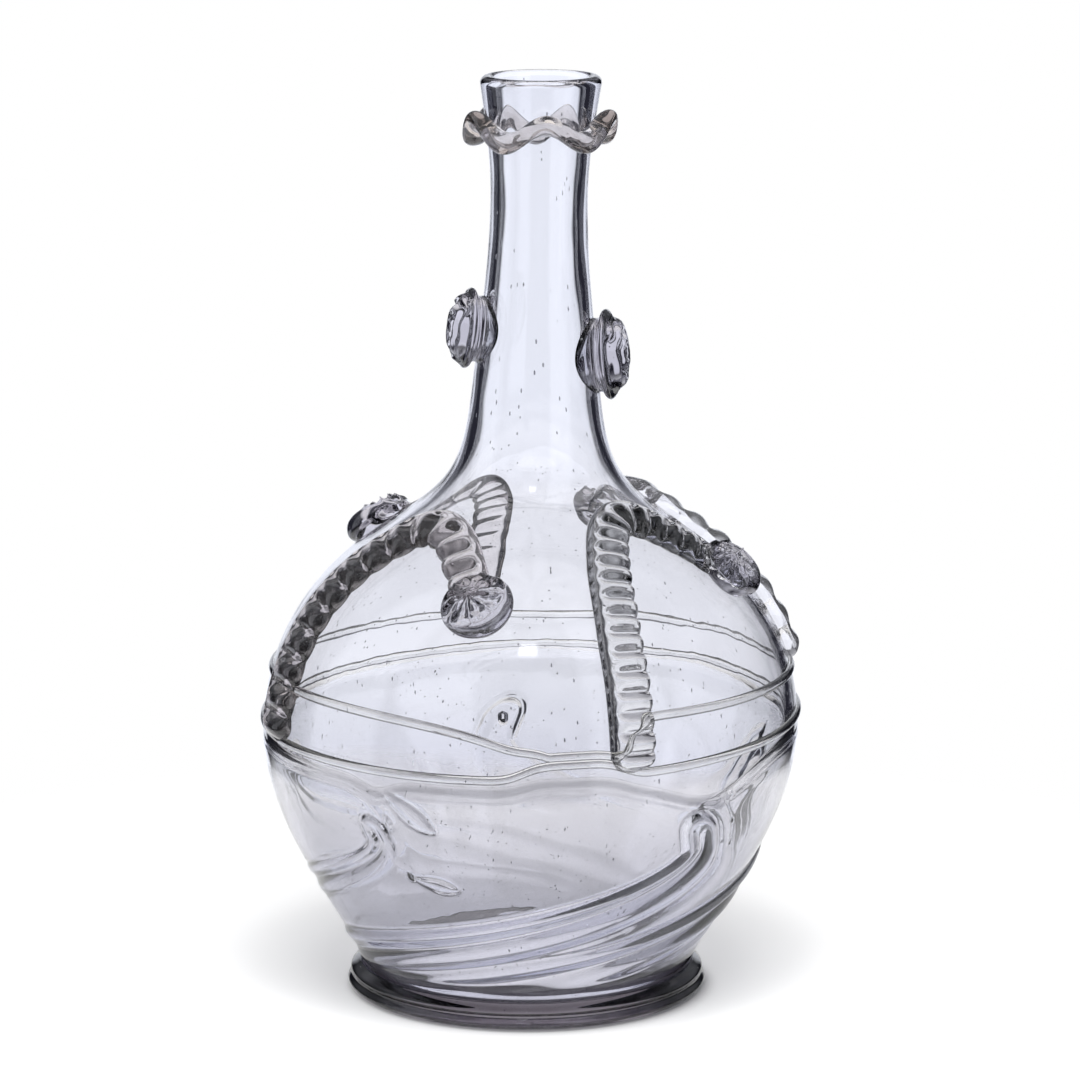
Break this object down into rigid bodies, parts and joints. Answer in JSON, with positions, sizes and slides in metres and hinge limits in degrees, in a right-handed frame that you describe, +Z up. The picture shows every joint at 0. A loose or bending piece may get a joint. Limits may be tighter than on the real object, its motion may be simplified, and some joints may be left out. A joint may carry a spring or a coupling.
{
  "type": "carafe",
  "caption": "Tall-necked blown glass serving bottle with a round bowl, frilled collar, stamped prunts, crimped shoulder trails, girdle threads and a twisted-rib lower jacket on a ring foot.",
  "frame": {"origin": "on the surface the foot rests on, under the middle of the bowl", "axes": "+Z up the bottle to the mouth, -Y towards the view with the nipped threads, +X to that view's right, where the neck leans"},
  "size_m": [0.1418, 0.1419, 0.24],
  "materials": {
    "clear_glass": "fire-polished, thin grey-lavender tint, seeds and small bubbles",
    "jacket_glass": "fire-polished, grey-lavender, optic ribs",
    "foot_glass": "fire-polished, thick, so the tint shows dark violet-grey",
    "trimming_glass": "fire-polished, tooled while hot"
  },
  "bodies": {
    "root": {"vessel": "clear_glass", "second_gather": "jacket_glass", "foot_ring": "foot_glass", "mouth_collar": "trimming_glass", "upper_thread": "trimming_glass", "lower_thread": "trimming_glass", "neck_prunt_left": "trimming_glass", "neck_prunt_right": "trimming_glass", "shoulder_trail_front_right": "trimming_glass", "shoulder_prunt_front_right": "trimming_glass", "shoulder_trail_back_right": "trimming_glass", "shoulder_prunt_back_right": "trimming_glass", "shoulder_trail_back_left": "trimming_glass", "shoulder_prunt_back_left": "trimming_glass", "shoulder_trail_front_left": "trimming_glass", "shoulder_prunt_front_left": "trimming_glass"}
  },
  "joints": []
}
